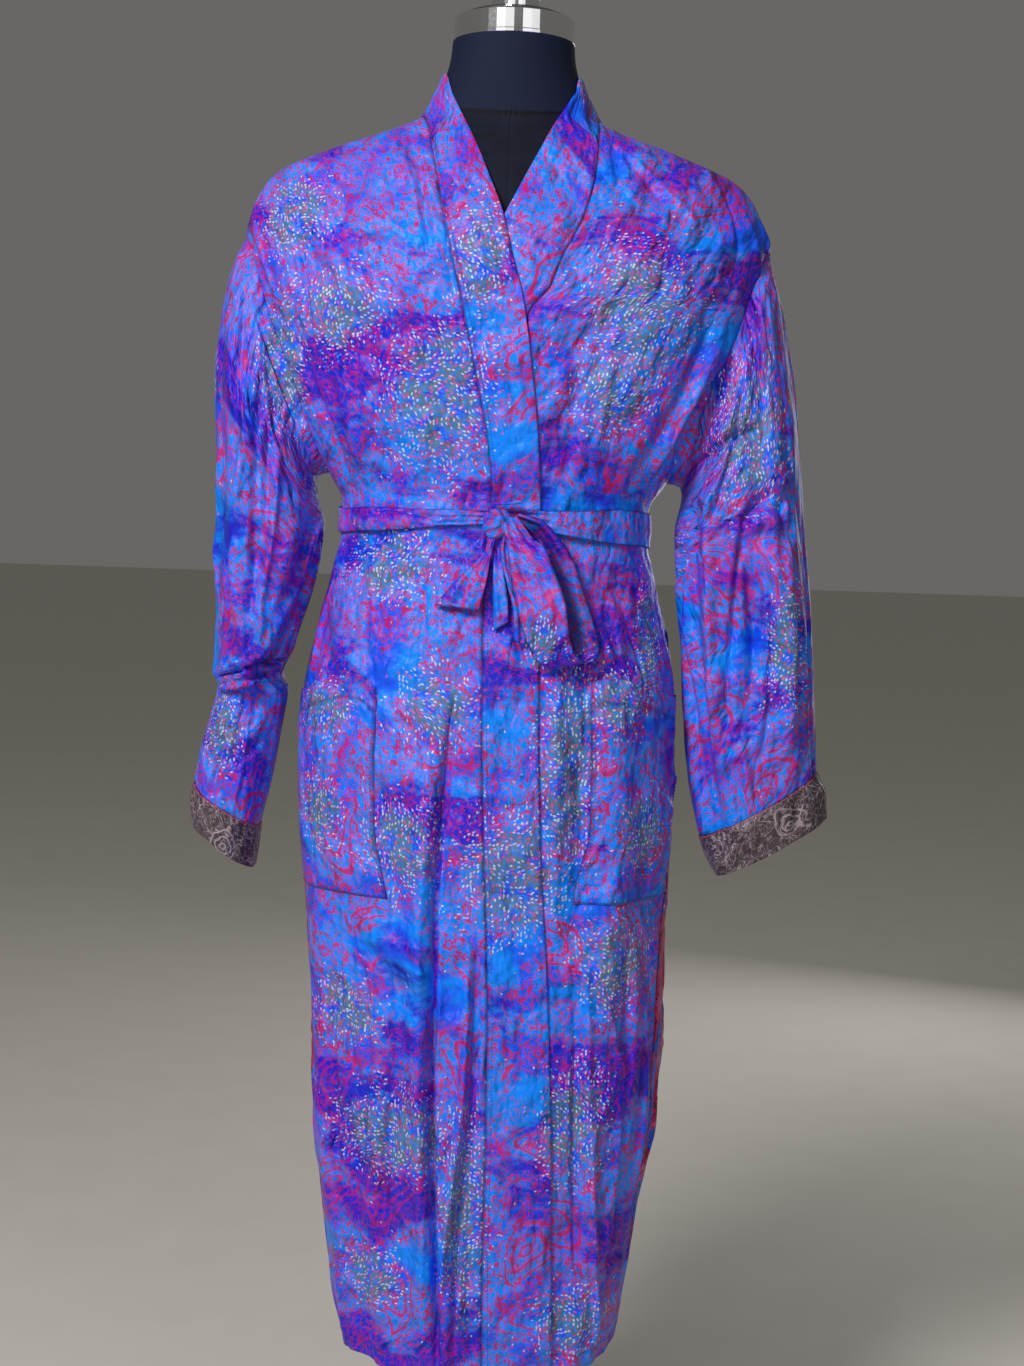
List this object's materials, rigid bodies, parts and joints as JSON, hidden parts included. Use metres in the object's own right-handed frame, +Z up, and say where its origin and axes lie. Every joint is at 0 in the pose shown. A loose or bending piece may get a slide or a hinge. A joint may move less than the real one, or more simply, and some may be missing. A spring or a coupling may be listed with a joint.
{
  "type": "kimono robe on a dress form",
  "caption": "Long wrap robe in the kimono cut, tied with a soft belt, worn open-sleeved and hollow on a limbless dress form with a round base.",
  "frame": {"origin": "centre of the base's underside, on the floor", "axes": "+Z up along the stand, -Y out of the robe's front, +X towards the wearer's left"},
  "size_m": [0.6655, 0.38, 1.6639],
  "materials": {
    "print_silk": "satin silk printed in blue, violet and crimson",
    "cuff_silk": "satin silk printed in brown and mauve",
    "form_cloth": "matte black cotton cover",
    "chrome": "polished",
    "black_steel": "satin black paint"
  },
  "bodies": {
    "root": {"front_right": "print_silk", "front_left": "print_silk", "back": "print_silk", "pocket_right": "print_silk", "pocket_left": "print_silk", "band_right": "print_silk", "band_left": "print_silk", "sleeve_right": "print_silk", "sleeve_left": "print_silk", "cuff_right": "cuff_silk", "cuff_left": "cuff_silk", "belt": "print_silk", "belt_knot": "print_silk", "bow_loop": "print_silk", "belt_tail_right": "print_silk", "belt_tail_middle": "print_silk", "belt_tail_left": "print_silk", "bow_ear": "print_silk", "form_torso": "form_cloth", "neck_cap": "chrome", "neck_disc": "black_steel", "neck_knob": "chrome", "pole": "chrome", "base_collar": "chrome", "base": "black_steel"}
  },
  "joints": []
}
